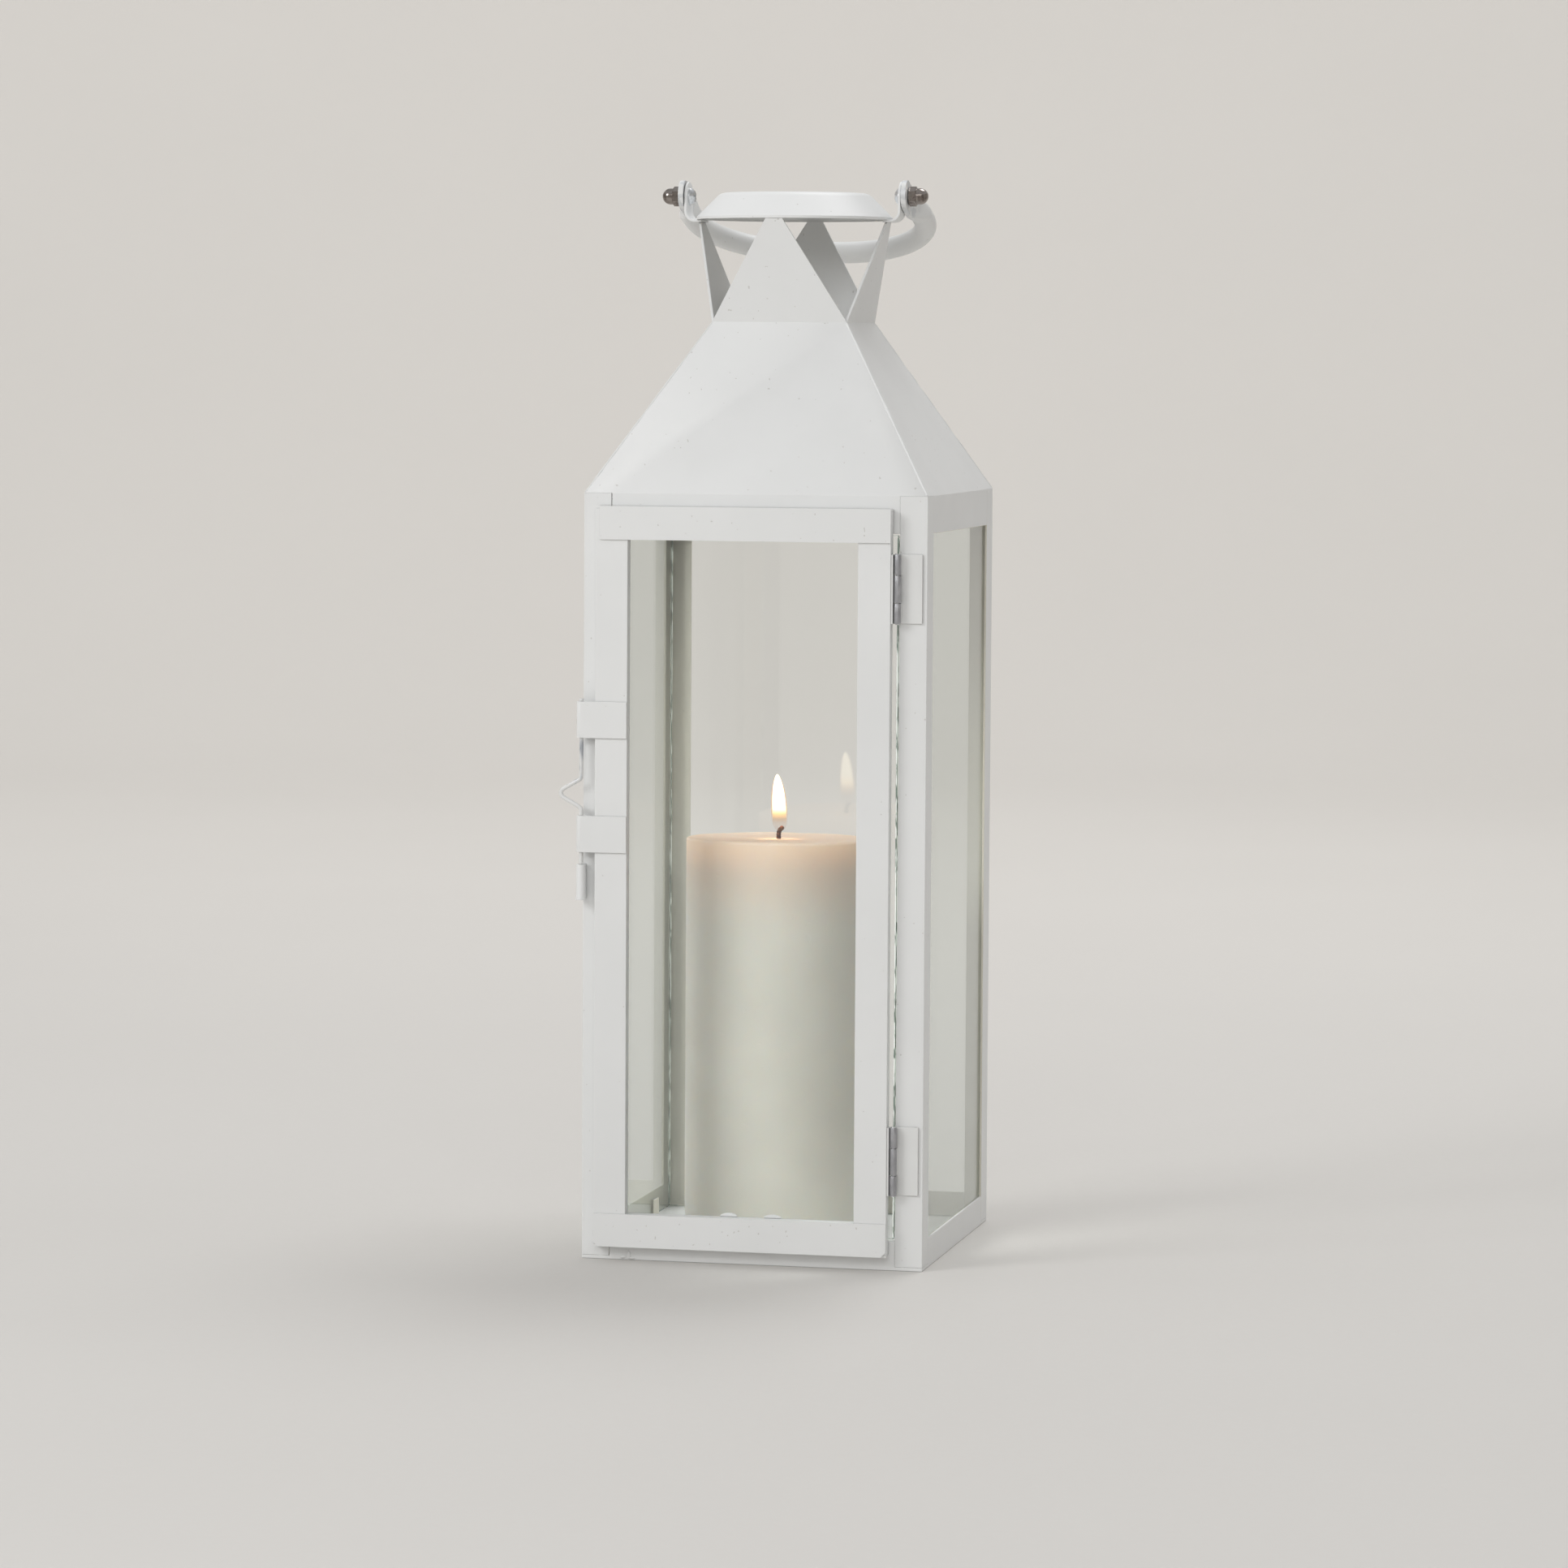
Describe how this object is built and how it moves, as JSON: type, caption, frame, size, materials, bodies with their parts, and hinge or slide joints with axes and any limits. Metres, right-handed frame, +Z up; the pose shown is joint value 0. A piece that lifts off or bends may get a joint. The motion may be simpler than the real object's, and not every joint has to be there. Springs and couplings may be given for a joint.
{
  "type": "candle lantern",
  "caption": "Square white sheet-metal candle lantern with glass sides, a latched front door, a vented pyramid roof with a round cap and a swinging tube handle.",
  "frame": {"origin": "centre of the underside of the base", "axes": "+X to the right as seen from the door side, +Y towards the back, +Z up; the door faces -Y"},
  "size_m": [0.149, 0.1474, 0.435],
  "materials": {
    "white_paint": "satin white powder coat",
    "handle_paint": "satin white paint, chipped at the ends",
    "worn_wire": "thin white paint worn to bare steel",
    "clear_glass": "clear, green at the edges",
    "zinc_screw": "bright zinc",
    "nickel_nut": "dark nickel",
    "ivory_wax": "satin ivory wax",
    "charred_wick": "charred cotton"
  },
  "bodies": {
    "lantern": {"base_tray": "white_paint", "post_front_left": "white_paint", "post_front_right": "white_paint", "post_back_left": "white_paint", "post_back_right": "white_paint", "roof_panel_front": "white_paint", "roof_panel_right": "white_paint", "roof_panel_back": "white_paint", "roof_panel_left": "white_paint", "top_cap": "white_paint", "ear_left": "white_paint", "ear_right": "white_paint", "pivot_screws": "zinc_screw", "cap_nuts": "nickel_nut", "glass_left": "clear_glass", "glass_right": "clear_glass", "glass_back": "clear_glass", "glass_tabs": "white_paint", "hinge_leaf_post_upper": "white_paint", "hinge_leaf_post_lower": "white_paint", "hinge_pin_upper": "zinc_screw", "hinge_pin_lower": "zinc_screw", "latch_keeper": "white_paint"},
    "door": {"door_stile_left": "white_paint", "door_stile_right": "white_paint", "door_rail_top": "white_paint", "door_rail_bottom": "white_paint", "door_glass": "clear_glass", "door_glass_tabs": "white_paint", "hinge_leaf_door_upper": "white_paint", "hinge_leaf_door_lower": "white_paint", "latch_strap_upper": "white_paint", "latch_strap_lower": "white_paint"},
    "bolt": {"latch_bolt": "worn_wire"},
    "handle": {"handle": "handle_paint"},
    "candle": {"candle": "ivory_wax", "wick": "charred_wick"}
  },
  "joints": [
    {"name": "door_hinge", "type": "hinge", "parent": "lantern", "child": "door", "pos_m": [0.0586, -0.0732, 0.158], "axis": [0, 0, 1], "range_deg": [0, 175]},
    {"name": "bolt_slide", "type": "slide", "parent": "door", "child": "bolt", "axis": [0, 0, 1], "range_m": [-0.0016, 0.014]},
    {"name": "handle_pivot", "type": "hinge", "parent": "lantern", "child": "handle", "pos_m": [0, 0, 0.4285], "axis": [1, 0, 0], "range_deg": [-32, 248]},
    {"name": "candle_lift", "type": "slide", "parent": "lantern", "child": "candle", "axis": [0, 0, 1], "range_m": [0, 0.09]}
  ]
}
